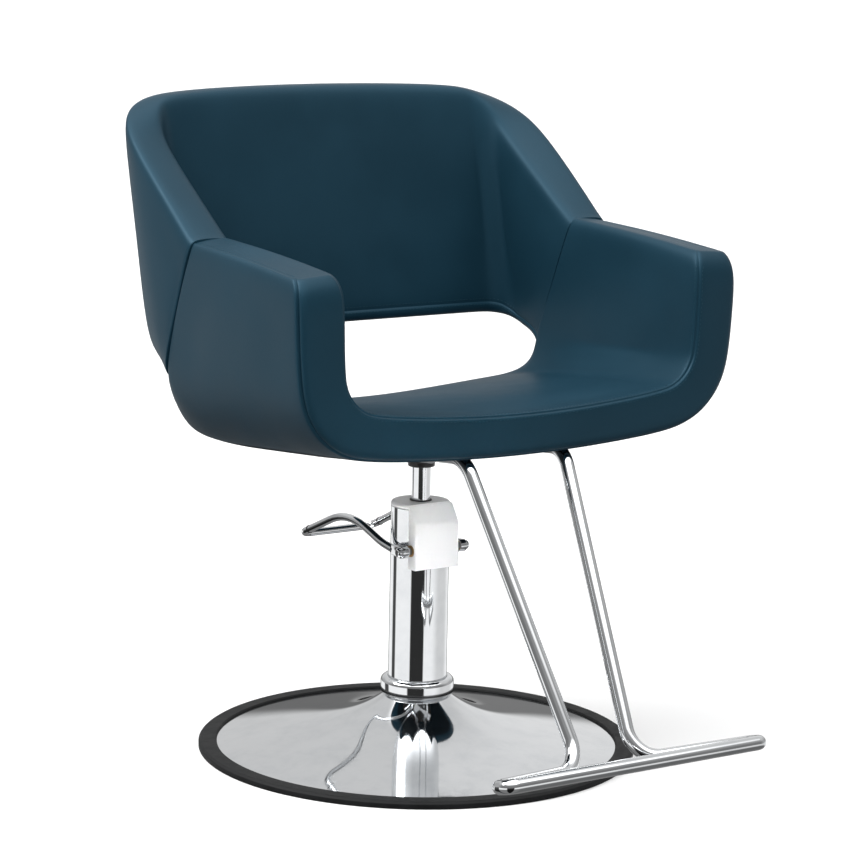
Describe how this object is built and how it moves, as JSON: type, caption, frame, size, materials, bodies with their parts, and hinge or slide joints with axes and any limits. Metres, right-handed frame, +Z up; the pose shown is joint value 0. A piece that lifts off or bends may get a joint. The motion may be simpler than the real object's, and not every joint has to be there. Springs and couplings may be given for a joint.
{
  "type": "hairdressing chair",
  "caption": "Salon styling chair: upholstered bucket seat with wrap-round back and open slot, turning and rising on a chrome pump column with foot pedal, T-shaped footrest and round base.",
  "frame": {"origin": "on the column axis at floor level, in the middle of the base's underside", "axes": "+Z up along the column, -Y towards the front of the chair where the sitter's feet rest, +X to the left hand of a person sitting in it"},
  "size_m": [0.6884, 0.838, 0.889],
  "materials": {
    "upholstery": "satin dark petrol-blue artificial leather with stitched seams",
    "chrome": "polished chrome plate",
    "silver_paint": "light silver satin enamel on the pump head",
    "steel": "zinc-plated or plain machined steel",
    "black_paint": "satin black powder coat",
    "rubber": "matt black rubber",
    "bronze": "plain sintered bearing bronze",
    "cast_iron": "machined casting",
    "plywood": "plain plywood",
    "black_plastic": "moulded black plug"
  },
  "bodies": {
    "base": {"base_plate": "chrome", "base_trim_ring": "rubber", "floor_plate": "steel", "pump_flange": "steel", "flange_bolt_1": "steel", "flange_bolt_2": "steel", "flange_bolt_3": "steel", "flange_bolt_4": "steel", "column_foot_ring": "chrome", "pump_column": "chrome", "pressure_tube": "steel", "pump_body": "cast_iron", "top_cap": "silver_paint", "rod_wiper_seal": "rubber", "mechanism_cover": "silver_paint", "shaft_bush_left": "bronze", "shaft_bush_right": "bronze"},
    "pedal": {"pedal_lever": "chrome", "pedal_hub_left": "chrome", "pedal_hub_right": "chrome", "pedal_bolt_left": "chrome", "pedal_bolt_right": "chrome", "pedal_shaft": "steel", "pump_cam": "steel"},
    "plunger": {"pump_plunger": "steel", "plunger_spring": "steel"},
    "piston": {"piston_head": "steel", "piston_seal": "rubber"},
    "chair": {"piston_rod": "chrome", "piston_nut": "steel", "seat_hub": "black_paint", "seat_plate": "black_paint", "plate_bolt_1": "steel", "plate_bolt_2": "steel", "plate_bolt_3": "steel", "plate_bolt_4": "steel", "footrest_tube": "chrome", "footrest_saddle_left": "steel", "footrest_saddle_right": "steel", "saddle_screw_1": "steel", "saddle_screw_2": "steel", "saddle_screw_3": "steel", "saddle_screw_4": "steel", "footrest_plug_left": "black_plastic", "footrest_plug_right": "black_plastic", "seat_board": "plywood", "seat_shell": "upholstery", "backrest": "upholstery"}
  },
  "joints": [
    {"name": "lift", "type": "slide", "parent": "base", "child": "piston", "axis": [0, 0, 1], "range_m": [0, 0.15]},
    {"name": "swivel", "type": "hinge", "parent": "piston", "child": "chair", "pos_m": [0, 0, 0.393], "axis": [0, 0, 1], "continuous": true},
    {"name": "pedal", "type": "hinge", "parent": "base", "child": "pedal", "pos_m": [0, -0.0305, 0.2835], "axis": [1, 0, 0], "range_deg": [-25, 0], "stiffness_Nm_per_rad": 3, "springref_deg": 34.38},
    {"name": "plunger", "type": "slide", "parent": "base", "child": "plunger", "axis": [0, 0, 1], "range_m": [-0.0045, 0], "deforming": ["plunger_spring"]}
  ],
  "couplings": [
    {"joint": "plunger", "follows": "pedal", "m_per_rad": 0.0098}
  ]
}
